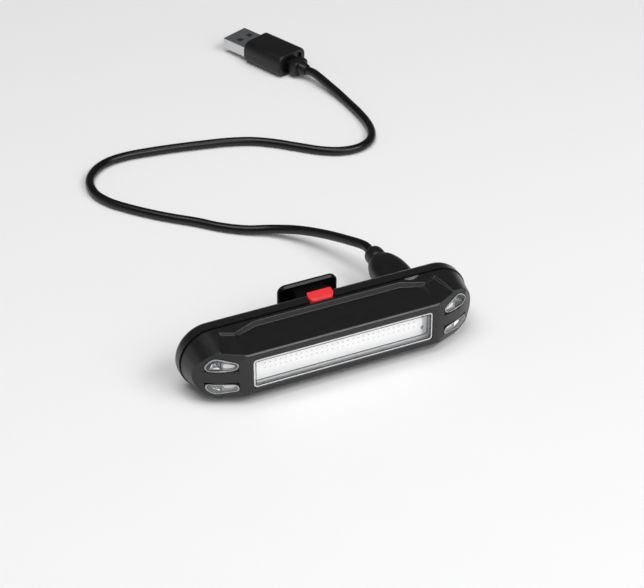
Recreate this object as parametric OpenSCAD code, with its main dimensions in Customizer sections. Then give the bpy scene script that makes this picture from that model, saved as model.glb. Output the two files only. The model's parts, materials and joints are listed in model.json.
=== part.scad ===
// Bicycle rear light with a long lit window, clear side lenses and a strap hook behind it,
// with its charging lead plugged in at the back.
// Millimetres. X runs along the light, the window faces -Y, +Z is up, the light stands on z = 0.
// Inside the modules of the light, y is the depth behind the bezel face.

/* [Body] */
// Length of the body
body_length = 100.6; // [96:0.2:108]
// Height of the body
body_height = 22; // [21.5:0.5:24]
// Depth of the body from the bezel face to the back
body_depth = 19.6; // [19:0.2:21]
// Depth of the front case, from the bezel face to the seal
case_depth = 14; // [13.6:0.1:14.4]
// Length of the round ends, as a share of a half circle's
end_stretch = 1; // [0.95:0.01:1.1]
// Wall thickness of the case and the cover
wall = 1.6; // [1.2:0.1:1.8]
// Radius of the cover's back edge
back_radius = 2.7; // [2.6:0.1:3]
// How far the cover's rim stands proud of the front case
rim_step = 0.4; // [0.2:0.1:0.6]
// Thickness of the seal, which is the width of the seam
seal_thickness = 0.4; // [0.3:0.1:0.6]

/* [Front] */
// Distance from the end of the flat bezel face to the end of the body
end_reach = 17.55; // [16.5:0.05:18.5]
// Height of the flat bezel face
bezel_height = 15.6; // [15:0.2:16.4]
// Radius that the round ends lose between the seam and the bezel face
end_taper = 2.6; // [2:0.1:2.7]
// Angle at which the end faces fall back from the bezel
end_angle = 16.5; // [14:0.5:20]
// Angle at which their outer parts fall back
outer_angle = 37; // [32:1:40]
// Angle at which the side lenses lean away from the bar between them
lens_lean = 14; // [8:1:16]
// Depth of the sunk panel's ridge behind the bezel face
ridge_depth = 12.3; // [11.6:0.1:12.4]
// Distance of the ridge's ends from the bezel's ends, along the light
ridge_inset = 7.6; // [6:0.2:9]
// Depth of the panel's rear corners behind the bezel face
corner_depth = 10.2; // [9.6:0.1:10.6]

/* [Window] */
// Width of the bezel beyond the ends of the window opening
window_margin = 1.6; // [1.5:0.1:3]
// Height of the window opening
window_height = 10.6; // [9.6:0.2:11]
// Corner radius of the window opening
window_corner = 1.2; // [0.6:0.1:2]
// Width of the flange behind the window's edge
flange_width = 0.8; // [0.5:0.1:0.9]
// Thickness of the flange
flange_thickness = 0.8; // [0.6:0.1:1]
// Half the height of the bar between the upper and lower side lens
bar_half = 2.1; // [1.8:0.1:2.3]
// Radius of the round outer end of the side lenses
side_lens_radius = 6.8; // [6.2:0.1:7]
// Length of the side lenses along the end faces
side_lens_length = 11.2; // [10:0.1:11.6]

/* [Light engine] */
// Depth of the reflector frame between the window and the LED board
reflector_depth = 1; // [0.8:0.1:1.4]
// Thickness of the LED board
board_thickness = 1; // [0.8:0.1:1.2]
// Number of LED chips in each of the two rows
chips_per_row = 30; // [20:1:36]
// Length of the battery cell
battery_length = 45; // [36:1:46]
// Height of the battery cell
battery_height = 12.6; // [10:0.2:13]
// Thickness of the battery cell
battery_thickness = 7; // [5:0.1:7.2]
// Thickness of the main circuit board
pcb_thickness = 1; // [0.8:0.1:1.2]

/* [Button] */
// Length of the power button
button_length = 8.6; // [8:0.2:11]
// Width of the power button
button_width = 3.9; // [3.6:0.1:4]
// Height of the power button's back edge above the cover
button_height = 1.3; // [1:0.1:2]
// Distance of the power button from the middle of the light, to the left
button_shift = 0.9; // [0:0.1:2]
// Travel of the power button
button_travel = 0.5; // [0.3:0.05:0.6]

/* [Strap hook] */
// Width of the hook's plate
plate_width = 20.8; // [18:0.2:24]
// Height of the hook's plate
plate_height = 18.4; // [17:0.2:19]
// Thickness of the hook's plate
plate_thickness = 2; // [1.6:0.1:2.6]
// Width of the neck between the cover and the plate
neck_width = 12.4; // [11.5:0.1:14]
// Height of the neck
neck_height = 15.2; // [13:0.2:16]
// Gap for the strap between the cover and the plate
strap_gap = 7.8; // [6:0.2:9]

/* [Charging lead] */
// Diameter of the cord
cord_diameter = 3.2; // [2.8:0.1:3.6]
// Width of the small plug's grip
small_grip_width = 12; // [11:0.2:12.4]
// Thickness of the small plug's grip
small_grip_thickness = 7.4; // [6.8:0.1:7.8]
// Length of the small plug's grip
small_grip_length = 20; // [18:0.5:20]
// Width of the large plug's grip
large_grip_width = 14.8; // [14:0.2:16]
// Thickness of the large plug's grip
large_grip_thickness = 8; // [7.6:0.1:9]
// Length of the large plug's grip
large_grip_length = 19.2; // [17:0.2:22]

/* [Hidden] */
$fn = 48;

// Clearances
slip = 0.1;
running = 0.05;
far = 60;
eps = 0.01;

// Body
mid_z = body_height / 2;
rim_radius = body_height / 2;
end_x = body_length / 2 - rim_radius * end_stretch;
bezel_end = body_length / 2 - end_reach;
cover_front = case_depth + seal_thickness;
hook_back = body_depth + strap_gap + plate_thickness;
face_y = -hook_back / 2;
seam_radius = rim_radius - rim_step;
nose_radius = seam_radius - end_taper;
bezel_half = bezel_height / 2;
window_length = 2 * (bezel_end - window_margin);
bezel_edge = 0.45;

// Sunk panel above and below the bezel: rise of its floor per depth, and its right corners in
// distance along the light and depth; the lean is that of a recess's side from the upright
panel_slope = 0.085;
ridge_lean = 30;
panel_lean = 62;
panel_corner = [bezel_end - 0.9, corner_depth];
ridge_end = [bezel_end - ridge_inset, ridge_depth];
bezel_corner = [bezel_end, 0];

// Shelf between the panel and the round end, a little higher than the panel
shelf_slope = 0.14;
shelf_lean = 35;
shelf_inner = [bezel_end - 0.1, corner_depth - 0.4];
shelf_outer = [bezel_end + 4.5, corner_depth + 1.4];
shelf_front = [bezel_end + 6.9, corner_depth - 5.4];

// Lip of the cover inside the round ends of the front case
lip_length = 1.2;
lip_thickness = 1;
lip_radius = seam_radius - wall - 3 * slip;

// End faces, in distance from the bezel's end along them: start of the outer part, and of the lens;
// the lean's edge drops from the bezel's corner to the bar at this angle
outer_start = 9.7;
side_lens_start = 3.1;
lean_drop = 36;

// Stack behind the bezel
flange_back = wall + flange_thickness;
board_front = flange_back + reflector_depth;
board_back = board_front + board_thickness;
pad_thickness = 0.8;
pad_margin = 2;
battery_front = board_back + pad_thickness;
board_length = window_length + 0.8;
board_height = window_height + 0.6;
chip_size = [0.55, 0.12, 0.55];
chip_row_gap = 1.75;
chip_row_inset = 5.6;
lens_recess = 0.15;
reflector_wall = 0.2;
seal_inset = 0.4;

// Main board, behind the battery
pcb_front = case_depth - 0.4;
pcb_back = pcb_front + pcb_thickness;
pcb_edge_gap = 0.7;
pcb_height = 2 * (lip_radius - lip_thickness - pcb_edge_gap);
pcb_end_gap = 0.35;
boss_radius = 2.3;
pcb_length = 2 * (end_x - boss_radius - pcb_end_gap);
lip_start = max(shelf_front[0] + 1.2, end_x + boss_radius + pcb_end_gap);
pcb_post = [pcb_length / 2 - 2.2, 5.2];
post_radius = 1.4;
pcb_hole = 0.7;
pcb_screw = [0.65, 3];
pcb_head = [1.3, 0.9];
tip_gap = 0.3;
lead_radius = 0.45;
led_lead_x = board_length / 2 - 3;
led_lead_gap = 4;

// Case screws: place from the middle, shank radius and depth, head radius and height
screw_place = [end_x, 6.2];
screw_shank = 0.95;
screw_head = [1.9, 1.3];
head_sink = 1.7;
cross_slot = [0.4, 0.5];
post_rib = 2.4;
case_post_front = case_depth - 4.6;
screw_tip = case_post_front + 0.6;

// Charging port and the small plug
port_z = mid_z;
port_outer = [7.7, 2.9];
port_edge_gap = 0.6;
port_x = pcb_length / 2 - port_edge_gap - port_outer[0] / 2;
port_wall = 0.32;
port_corner = 0.7;
port_floor = 0.5;
port_back = body_depth - 0.3;
plug_gap = 0.4;
plug_front = body_depth + plug_gap;
plug_tip = pcb_back + port_floor + 0.2;
plug_shell = [port_outer[0] - 2 * (port_wall + running), port_outer[1] - 2 * (port_wall + running)];
plug_shell_wall = 0.3;
plug_shell_corner = port_corner - port_wall - running;
collar_length = 7.7;
collar_radius = 3.7;
collar_edge = 0.8;
collar_end = plug_front + small_grip_length + collar_length;

// Rubber flap of the port, folded open against the back
flap_height = 5.6;
flap_cover = 0.85;
flap_thickness = 1.3;
flap_rib = [6, 1.9, 1.1];
flap_rib_corner = 0.6;
flap_pin = 0.6;
flap_gap = 0.3;
hinge_side_gap = 1;
hinge_reach = small_grip_width / 2 + hinge_side_gap;
hinge_x = port_x - hinge_reach;
flap_length = hinge_reach + port_outer[0] / 2 + flap_cover;
hinge_y = body_depth + flap_gap + flap_thickness / 2;
lug_gap = 0.15;
lug_width = 1;
lug_radius = 1.05;

// Power button and its switch; the button's slot is open at the rim's front edge
button_y = cover_front + slip + button_width / 2;
button_top = body_height + button_height;
button_front_top = body_height - 0.3;
button_corner = 1.7;
switch_shift = 0.5;
button_ear = 1.1;
ear_thickness = 0.7;
ear_inset = 0.2;
ear_top = body_height - wall - slip;
stem_radius = 1.2;
stem_bottom = ear_top - ear_thickness - 0.9;
switch_size = [6, 3.2];
switch_top = stem_bottom - 1;
switch_back = body_depth - wall - slip;
plunger_radius = 0.9;
plunger_foot = 0.4;
plunger_bottom = switch_top - plunger_foot;

// Strap hook
plate_corner = 2.6;
plate_bevel = 0.6;
neck_corner = 1.2;
hook_screw_place = [3.8, -2.5];
hook_screw = [0.95, 6.4];
hook_head = [1.8, 1.2];

// Large plug: middle of the grip's cord end, and the direction of the cord there in degrees
large_end = [67.6, 173.8];
large_turn = -67.7;
large_grip_corner = 2.4;
end_recess = [10.4, 6, 1];
end_recess_corner = 1.8;
relief_root = [6, 4.4, 1.2];
relief_block = [7.4, 6, 5];
relief_length = 8;
large_shell = [12, 4.5, 12];
large_shell_wall = 0.3;
large_shell_corner = 0.4;
shell_seat = 1;
shell_window = [2.3, 2.2];
shell_window_place = [2.6, -6.3];
tongue_size = [10.6, 1.9, 9];
contact_size = [1.2, 0.15, 7.4];
contact_pitch = 2.4;
contact_inset = 0.6;

// Route of the cord's middle from the collar to the large plug, round numbers
cord_radius = cord_diameter / 2;
lie = cord_radius;
cord_start_y = face_y + collar_end;
straight_run = 4;
cord_turn = [cos(large_turn), sin(large_turn)];
relief_tip = large_end + relief_length * cord_turn;
run_start = relief_tip + straight_run * cord_turn;
large_mid_z = large_grip_thickness / 2;
CORD_ROUTE = [
    [port_x, cord_start_y, port_z], [port_x - 0.3, cord_start_y + straight_run, port_z - 0.2],
    [29.4, 43, 9.9], [25.2, 54, 7.2], [19.6, 63.8, 4.7], [12.8, 70.8, 2.8], [5.4, 75.6, 1.8],
    [-1.7, 81.2, lie], [-8, 87.7, lie], [-14.6, 93.6, lie], [-21, 100, lie], [-27.5, 107.6, lie],
    [-31.4, 113.5, lie], [-33.6, 120.5, lie], [-32.6, 128.6, lie], [-28.2, 135, lie],
    [-21.7, 138.8, lie], [-14, 139.8, lie], [-5, 139, lie], [4, 137.6, lie], [13, 135.8, lie],
    [22.5, 133.6, lie], [31, 130.4, lie], [38.3, 125.5, lie], [45.4, 119, lie], [52, 113.2, lie],
    [58.5, 109.8, lie], [65.4, 109.4, lie], [71.2, 112.6, lie], [74.6, 118.6, lie], [76, 126, lie],
    [76.2, 134, lie], [75.9, 141, lie], [75.2, 147.8, 2.1], [73.9, 154.4, 3],
    [run_start[0], run_start[1], large_mid_z], [relief_tip[0], relief_tip[1], large_mid_z]
];
CORD_SIDES = 8;

// Radius of the round ends of the front case, before they are drawn longer
function nose(y) = nose_radius + end_taper * y / case_depth;

// Shapes that repeat

// A profile in depth and height, drawn out along X and centred
module along_x(length) {
    rotate([90, 0, 90]) linear_extrude(length, center = true) children();
}

// A profile in width and height, drawn out along the depth from one place to another
module through(from, to) {
    translate([0, to, 0]) rotate([90, 0, 0]) linear_extrude(to - from) children();
}

// A rod along the depth
module rod(x, z, radius, from, to) {
    translate([x, from, z]) rotate([-90, 0, 0]) cylinder(r = radius, h = to - from);
}

module rounded(size, radius) {
    square([size[0] - 2 * radius, size[1]], center = true);
    square([size[0], size[1] - 2 * radius], center = true);
    for (x = [-1, 1], y = [-1, 1])
        translate([x * (size[0] / 2 - radius), y * (size[1] / 2 - radius)]) circle(radius);
}

// A round-ended outline in width and height about the middle of the body
module stadium(radius) {
    translate([0, mid_z]) {
        square([2 * end_x, 2 * radius], center = true);
        for (s = [-1, 1]) translate([s * end_x, 0]) scale([end_stretch, 1]) circle(radius);
    }
}

module ring(outer, inner, from, to) {
    through(from, to) difference() {
        stadium(outer);
        stadium(inner);
    }
}

// Repeats its children above and below the middle of the body
module above_and_below() {
    children();
    translate([0, 0, 2 * mid_z]) mirror([0, 0, 1]) children();
}

module left_and_right() {
    children();
    mirror([1, 0, 0]) children();
}

// Moves to the light's place: depth 0 at the bezel face
module in_light() {
    translate([0, face_y, 0]) children();
}

// Front case form

// Round-ended block that tapers to the front, inset by t and reaching to the depth back
module tapered_block(t, back) {
    front_r = nose(t) - t;
    back_r = nose(back) - t;
    along_x(2 * end_x) polygon([
        [t, mid_z - front_r], [back, mid_z - back_r], [back, mid_z + back_r], [t, mid_z + front_r]
    ]);
    for (s = [-1, 1])
        translate([s * end_x, t, mid_z]) scale([end_stretch, 1, 1]) rotate([-90, 0, 0])
            cylinder(r1 = front_r, r2 = back_r, h = back - t);
}

// What lies in front of an upright plane through the origin, along X, moved back by t
module front_of_end(t) {
    translate([-far / 2, -far, -far / 2]) cube([far * 2, far + t, far]);
}

// What lies in front of the right end's faces, inset by t
module end_face_cut(t) {
    translate([bezel_end, 0, mid_z]) rotate([0, 0, end_angle]) {
        front_of_end(t);
        translate([outer_start, 0, 0]) rotate([0, 0, outer_angle - end_angle]) front_of_end(t);
        for (s = [-1, 1]) intersection() {
            translate([0, 0, s * bezel_half]) rotate([-s * lens_lean, s * lean_drop, 0]) front_of_end(t);
            translate([-far / 2, -far, s > 0 ? bar_half - t : t - bar_half - far])
                cube([far * 2, 2 * far, far]);
        }
    }
}

// The near side of a plane that stands on the line from one place to the next and leans outward,
// moved outward by t; the near side is to the right of that line
module near_side(from, to, lean, t) {
    turn = atan2(to[1] - from[1], to[0] - from[0]);
    translate([from[0], from[1], 0]) rotate([0, 0, turn]) rotate([-lean, 0, 0])
        translate([-far, -2 * far + t, -far]) cube([2 * far, 2 * far, 2 * far]);
}

// Moves to a recess's floor, which starts at the bezel's upper edge and rises towards the back
module on_floor(slope) {
    translate([0, 0, mid_z + bezel_half]) rotate([atan(slope), 0, 0]) children();
}

module above_floor(t) {
    translate([-far, -far, -t]) cube([2 * far, 2 * far, far]);
}

// What lies above the sunk panel, within its ridge, rear corners and leaning sides, inset by t
module panel_cut(t) {
    on_floor(panel_slope) intersection() {
        above_floor(t);
        near_side([-ridge_end[0], ridge_end[1]], ridge_end, ridge_lean, t);
        near_side(ridge_end, panel_corner, ridge_lean, t);
        near_side(panel_corner, bezel_corner, panel_lean, t);
        mirror([1, 0, 0]) near_side(ridge_end, panel_corner, ridge_lean, t);
        mirror([1, 0, 0]) near_side(panel_corner, bezel_corner, panel_lean, t);
    }
}

// What lies above the right shelf, inset by t
module shelf_cut(t) {
    on_floor(shelf_slope) intersection() {
        above_floor(t);
        near_side(shelf_inner, shelf_outer, shelf_lean, t);
        near_side(shelf_outer, shelf_front, shelf_lean, t);
    }
}

// The small bevel along the bezel's upper edge
module bezel_edge_cut() {
    translate([0, 0, mid_z + bezel_half - bezel_edge]) rotate([45, 0, 0])
        translate([-far, -far, 0]) cube([2 * far, far, far]);
}

// The whole outer form of the front case, inset by t and reaching to the depth back
module front_form(t, back) {
    difference() {
        tapered_block(t, back);
        left_and_right() end_face_cut(t);
        above_and_below() {
            panel_cut(t);
            left_and_right() shelf_cut(t);
        }
    }
}

// Outline of the right upper side lens, seen square to the end face
module side_lens_outline(grow) {
    inner_x = side_lens_start;
    outer_x = inner_x + side_lens_length - side_lens_radius;
    top_inner = side_lens_radius - 2;
    top_outer = side_lens_radius + 0.2;
    corner = [0.6, 0.8];
    intersection() {
        union() {
            translate([outer_x, 0]) circle(side_lens_radius + grow);
            translate([inner_x - grow, -side_lens_radius - grow])
                square([outer_x - inner_x + grow, 2 * (side_lens_radius + grow)]);
        }
        polygon([
            [inner_x - grow, bar_half - grow], [far, bar_half - grow], [far, far],
            [outer_x + 2, top_outer + grow], [inner_x + corner[0], top_inner + grow],
            [inner_x - grow, top_inner - corner[1]]
        ]);
    }
}

// Prism of the right upper side lens, square to the end face
module side_lens_prism(grow) {
    translate([bezel_end, 0, mid_z]) rotate([0, 0, end_angle])
        translate([0, far / 4, 0]) rotate([90, 0, 0]) linear_extrude(far / 2) side_lens_outline(grow);
}

// Window of the right upper side lens, with its flange inside the case
module side_lens() {
    intersection() {
        side_lens_prism(-slip);
        front_form(lens_recess, case_depth);
        end_face_cut(wall);
    }
    intersection() {
        side_lens_prism(flange_width);
        front_form(wall, case_depth);
        end_face_cut(wall + flange_thickness);
    }
}

module window_outline(grow) {
    translate([0, mid_z]) rounded([window_length + 2 * grow, window_height + 2 * grow], window_corner);
}

// Thumb notch in the case's top edge, above the charging port
module thumb_notch() {
    notch_radius = 5.4;
    notch_sink = 0.7;
    notch_width = 3;
    notch_shift = -2;
    translate([port_x + notch_shift, case_depth, mid_z + seam_radius + notch_radius - notch_sink])
        rotate([-90, 0, 0]) cylinder(r = notch_radius, h = notch_width, center = true);
}

// Screw post of the right upper end, tied to the wall by a rib
module case_post(from, to) {
    rod(screw_place[0], mid_z + screw_place[1], boss_radius, from, to);
    translate([screw_place[0] - post_rib / 2, from, mid_z + screw_place[1]])
        cube([post_rib, to - from, seam_radius - screw_place[1]]);
}

// Nodes of the case

module front_case() color("#242424") in_light() difference() {
    union() {
        difference() {
            front_form(0, case_depth);
            front_form(wall, case_depth + 1);
        }
        intersection() {
            left_and_right() above_and_below() case_post(case_post_front, case_depth);
            front_form(wall / 2, case_depth);
        }
    }
    above_and_below() bezel_edge_cut();
    through(-1, wall + 1) window_outline(0);
    left_and_right() above_and_below() {
        side_lens_prism(0);
        rod(screw_place[0], mid_z + screw_place[1], screw_shank + running, screw_tip - tip_gap,
            case_depth + 1);
    }
    thumb_notch();
}

// Outline of the rear cover in radius and depth, inset by t
module cover_profile(t) {
    front = cover_front - (t > 0 ? 1 : 0);
    translate([0, front]) square([rim_radius - back_radius, body_depth - t - front]);
    translate([0, front]) square([rim_radius - t, body_depth - back_radius - front]);
    translate([rim_radius - back_radius, body_depth - back_radius]) intersection() {
        circle(back_radius - t);
        square(back_radius);
    }
}

module cover_form(t) {
    for (s = [-1, 1])
        translate([s * end_x, 0, mid_z]) scale([end_stretch, 1, 1]) rotate([-90, 0, 0])
            rotate_extrude() cover_profile(t);
    above_and_below() translate([0, 0, mid_z]) along_x(2 * end_x) rotate([0, 0, 90]) mirror([0, 1])
        cover_profile(t);
}

module button_outline(grow) {
    rounded([button_length + 2 * grow, button_width + 2 * grow], button_corner + grow);
}

module rear_cover() color("#1f1f1f") in_light() difference() {
    union() {
        difference() {
            cover_form(0);
            cover_form(wall);
        }
        intersection() {
            ring(lip_radius, lip_radius - lip_thickness, case_depth - lip_length,
                cover_front + lip_thickness);
            left_and_right() translate([lip_start, 0, 0]) cube(far);
        }
        ring(rim_radius - wall / 2, lip_radius - lip_thickness, cover_front, cover_front + lip_thickness);
        left_and_right() above_and_below() {
            intersection() {
                rod(screw_place[0], mid_z + screw_place[1], boss_radius, cover_front, body_depth);
                cover_form(0);
            }
            rod(pcb_post[0], mid_z + pcb_post[1], post_radius, pcb_back, body_depth - wall / 2);
        }
        flap_lugs();
    }
    left_and_right() above_and_below() {
        rod(screw_place[0], mid_z + screw_place[1], screw_shank + running, 0, body_depth + 1);
        rod(screw_place[0], mid_z + screw_place[1], screw_head[0] + slip, body_depth - head_sink,
            body_depth + 1);
        rod(pcb_post[0], mid_z + pcb_post[1], pcb_screw[0] + running, pcb_back - 1, pcb_back + pcb_screw[1]);
    }
    for (s = [-1, 1])
        rod(s * hook_screw_place[0], mid_z + hook_screw_place[1], hook_screw[0] + running, 0, body_depth + 1);
    translate([port_x, 0, port_z])
        through(pcb_back, body_depth + 1)
            rounded([port_outer[0] + 2 * slip, port_outer[1] + 2 * slip], port_corner + slip);
    button_space();
}

// Room for the button: its hole through the rim, and for its ears under the rim
module button_space() {
    ear_room = 0.25;
    low = ear_top - ear_thickness - button_travel - ear_room;
    translate([-button_shift, button_y, mid_z]) linear_extrude(far) {
        button_outline(slip);
        translate([-button_length / 2 - slip, -button_width])
            square([button_length + 2 * slip, button_width]);
    }
    translate([-button_shift - button_length / 2 - button_ear - ear_room, case_depth, low])
        cube([button_length + 2 * (button_ear + ear_room), button_y + button_width / 2 + slip - case_depth,
            body_height - wall - low]);
}

module flap_lugs() {
    for (s = [-1, 1])
        translate([hinge_x, hinge_y, port_z + s * (flap_height / 2 + lug_gap + lug_width / 2)])
            difference() {
                union() {
                    cylinder(r = lug_radius, h = lug_width, center = true);
                    translate([-lug_radius, -hinge_y + body_depth - wall / 2, -lug_width / 2])
                        cube([2 * lug_radius, hinge_y - body_depth + wall / 2, lug_width]);
                }
                cylinder(r = flap_pin + running, h = lug_width + 1, center = true);
            }
}

module case_seal() color("#3a3a3a") in_light()
    ring(seam_radius - seal_inset, seam_radius - wall, case_depth, cover_front);

// A screw along the depth, its head towards the back; the seat is where the head bears
module screw(x, z, shank, tip, seat, head) {
    rod(x, z, shank, tip, seat);
    difference() {
        rod(x, z, head[0], seat, seat + head[1]);
        translate([x, seat + head[1], z]) {
            cube([cross_slot[0], 2 * cross_slot[1], 1.2 * head[0]], center = true);
            cube([1.2 * head[0], 2 * cross_slot[1], cross_slot[0]], center = true);
        }
    }
}

module case_screws() color("#8a8a8e") in_light() left_and_right() above_and_below()
    screw(screw_place[0], mid_z + screw_place[1], screw_shank, screw_tip, body_depth - head_sink, screw_head);

// Nodes of the window and the lights

module window_lens() color("#e8f0f4", 0.4) in_light() {
    through(lens_recess, wall) window_outline(-slip);
    through(wall, flange_back) window_outline(flange_width);
}

module side_lens_right_upper() color("#d8dde0", 0.5) in_light() side_lens();
module side_lens_left_upper() color("#d8dde0", 0.5) in_light() mirror([1, 0, 0]) side_lens();
module side_lens_right_lower() color("#d8dde0", 0.5) in_light()
    translate([0, 0, 2 * mid_z]) mirror([0, 0, 1]) side_lens();
module side_lens_left_lower() color("#d8dde0", 0.5) in_light()
    translate([0, 0, 2 * mid_z]) mirror([0, 0, 1]) mirror([1, 0, 0]) side_lens();

module reflector() color("#c9ccce") in_light() difference() {
    through(flange_back, board_front) window_outline(flange_width);
    through(flange_back - 1, board_front + 1) window_outline(-reflector_wall);
}

module led_board() color("#f4f4f2") in_light()
    translate([-board_length / 2, board_front, mid_z - board_height / 2])
        cube([board_length, board_thickness, board_height]);

module led_chips() color("#f2c9c4") in_light() {
    pitch = (board_length - 2 * chip_row_inset) / (chips_per_row - 1);
    for (i = [0 : chips_per_row - 1], s = [-1, 1])
        translate([-board_length / 2 + chip_row_inset + i * pitch, board_front - chip_size[1] / 2,
            mid_z + s * chip_row_gap / 2]) cube(chip_size, center = true);
}

module led_leads() color("#b02020") in_light() for (s = [-1, 1])
    rod(-led_lead_x, mid_z + s * led_lead_gap / 2, lead_radius, board_back, pcb_front);

// Nodes of the power pack

module battery_pad() color("#2c2c30") in_light()
    translate([-battery_length / 2 + pad_margin, board_back, mid_z - battery_height / 2 + pad_margin])
        cube([battery_length - 2 * pad_margin, pad_thickness, battery_height - 2 * pad_margin]);

module battery() color("#aeb4ba") in_light() {
    fold = 0.8;
    seam = 0.6;
    edge_radius = 1;
    translate([0, battery_front + battery_thickness / 2, mid_z]) {
        along_x(battery_length - 2 * fold) rounded([battery_thickness, battery_height], edge_radius);
        cube([battery_length, seam, battery_height - 2 * seam], center = true);
    }
}

// Two leads from the battery's end, bent back to the main board
module battery_leads() color("#303030") in_light() for (s = [-1, 1])
    translate([battery_length / 2, battery_front + battery_thickness / 2, mid_z + s * led_lead_gap / 2]) {
        bend = 1.6;
        rise = pcb_front - battery_front - battery_thickness / 2 - bend;
        rotate([0, 90, 0]) cylinder(r = lead_radius, h = 1);
        translate([1, bend, 0]) rotate([0, 0, -90]) rotate_extrude(angle = 90)
            translate([bend, 0]) circle(lead_radius);
        translate([1 + bend, bend, 0]) rotate([-90, 0, 0]) cylinder(r = lead_radius, h = rise);
    }

module main_pcb() color("#1f6b3a") in_light() difference() {
    translate([-pcb_length / 2, pcb_front, mid_z - pcb_height / 2])
        cube([pcb_length, pcb_thickness, pcb_height]);
    left_and_right() above_and_below()
        rod(pcb_post[0], mid_z + pcb_post[1], pcb_hole, pcb_front - 1, pcb_back + 1);
}

module pcb_screws() color("#b8b8ba") in_light() left_and_right() above_and_below() {
    rod(pcb_post[0], mid_z + pcb_post[1], pcb_screw[0], pcb_front, pcb_back + pcb_screw[1] - tip_gap);
    rod(pcb_post[0], mid_z + pcb_post[1], pcb_head[0], pcb_front - pcb_head[1], pcb_front);
}

module micro_usb_port() color("#b9bcc0") in_light() translate([port_x, 0, port_z]) difference() {
    through(pcb_back, port_back) rounded(port_outer, port_corner);
    through(pcb_back + port_floor, port_back + 1)
        rounded([port_outer[0] - 2 * port_wall, port_outer[1] - 2 * port_wall], port_corner - port_wall);
}

module switch_body() color("#3a3a3c") in_light() difference() {
    translate([-button_shift - switch_size[0] / 2, pcb_back, switch_top - switch_size[1]])
        cube([switch_size[0], switch_back - pcb_back, switch_size[1]]);
    translate([-button_shift, button_y + switch_shift, plunger_bottom - button_travel - tip_gap])
        cylinder(r = plunger_radius + running, h = far);
}

module switch_plunger() color("#e8e4da") in_light()
    translate([-button_shift, button_y + switch_shift, plunger_bottom])
        cylinder(r = plunger_radius, h = stem_bottom - running - plunger_bottom);

// The button's side view: its top falls to the rim's front edge
module button_side() {
    half = button_width / 2;
    edge = 0.7;
    low = ear_top - ear_thickness;
    polygon([
        [-half, low], [half, low], [half, button_top - edge], [half - edge, button_top],
        [-half + edge, button_front_top + edge], [-half, button_front_top]
    ]);
}

module power_button() color("#ee3e44") in_light() translate([-button_shift, button_y, 0]) {
    intersection() {
        linear_extrude(far) button_outline(0);
        along_x(2 * button_length) button_side();
    }
    translate([-button_length / 2 - button_ear, -button_width / 2 + ear_inset, ear_top - ear_thickness])
        cube([button_length + 2 * button_ear, button_width - 2 * ear_inset, ear_thickness]);
    translate([0, switch_shift, stem_bottom]) cylinder(r = stem_radius, h = ear_top - stem_bottom);
}

// Rubber flap, folded open: its pin turns in the cover's lugs, its rib faces back
module port_flap() color("#2a2a2a") in_light() {
    pin_length = flap_height + 2 * (lug_gap + lug_width);
    round_x = flap_length - flap_height / 2;
    translate([hinge_x, hinge_y, port_z]) {
        cylinder(r = flap_pin, h = pin_length, center = true);
        translate([-round_x, -flap_thickness / 2, -flap_height / 2])
            cube([round_x, flap_thickness, flap_height]);
        translate([-round_x, flap_thickness / 2, 0]) rotate([90, 0, 0])
            cylinder(r = flap_height / 2, h = flap_thickness);
        translate([-hinge_reach, flap_thickness / 2, 0])
            through(0, flap_rib[2]) rounded([flap_rib[0], flap_rib[1]], flap_rib_corner);
    }
}

// Nodes of the strap hook

module strap_hook() color("#101010") in_light() difference() {
    union() {
        translate([0, 0, mid_z]) through(body_depth, body_depth + strap_gap + plate_bevel)
            rounded([neck_width, neck_height], neck_corner);
        hull() {
            translate([0, 0, mid_z])
                through(body_depth + strap_gap + plate_bevel, hook_back - plate_bevel)
                    rounded([plate_width, plate_height], plate_corner, $fn = 32);
            translate([0, 0, mid_z]) through(body_depth + strap_gap, hook_back)
                rounded([plate_width - 2 * plate_bevel, plate_height - 2 * plate_bevel],
                    plate_corner - plate_bevel, $fn = 32);
        }
    }
    for (s = [-1, 1])
        rod(s * hook_screw_place[0], mid_z + hook_screw_place[1], hook_screw[0] + running,
            body_depth - 1, body_depth + hook_screw[1]);
}

module hook_screws() color("#8a8a8e") in_light() for (s = [-1, 1]) {
    seat = body_depth - wall;
    rod(s * hook_screw_place[0], mid_z + hook_screw_place[1], hook_screw[0], seat,
        body_depth + hook_screw[1] - tip_gap);
    rod(s * hook_screw_place[0], mid_z + hook_screw_place[1], hook_head[0], seat - hook_head[1], seat);
}

// Nodes of the charging lead

module small_plug_shell() color("#c2c4c8") in_light() translate([port_x, 0, port_z]) difference() {
    through(plug_tip, plug_front) rounded(plug_shell, plug_shell_corner);
    through(plug_tip - 1, plug_front - 1) rounded(
        [plug_shell[0] - 2 * plug_shell_wall, plug_shell[1] - 2 * plug_shell_wall], plug_shell_corner / 2);
}

// Sections of the grip: distance from its cord end, loss of width and of thickness, corner radius
GRIP_STEPS = [
    [small_grip_length - eps, 3, 0.8, 2.2], [16, 0.8, 0.2, 2.4], [12, 0, 0, 2.4], [9, 0.3, 0, 2.4],
    [1.5, 3, 0.6, 2.4], [0.4, 4.4, 1.4, 2.2], [0, 5.6, 2, 2]
];

module small_plug_grip() color("#262626") in_light() translate([port_x, 0, port_z]) {
    grip_end = plug_front + small_grip_length;
    hull() for (step = GRIP_STEPS)
        through(grip_end - step[0] - eps, grip_end - step[0])
            rounded([small_grip_width - step[1], small_grip_thickness - step[2]], step[3], $fn = 32);
}

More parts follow.
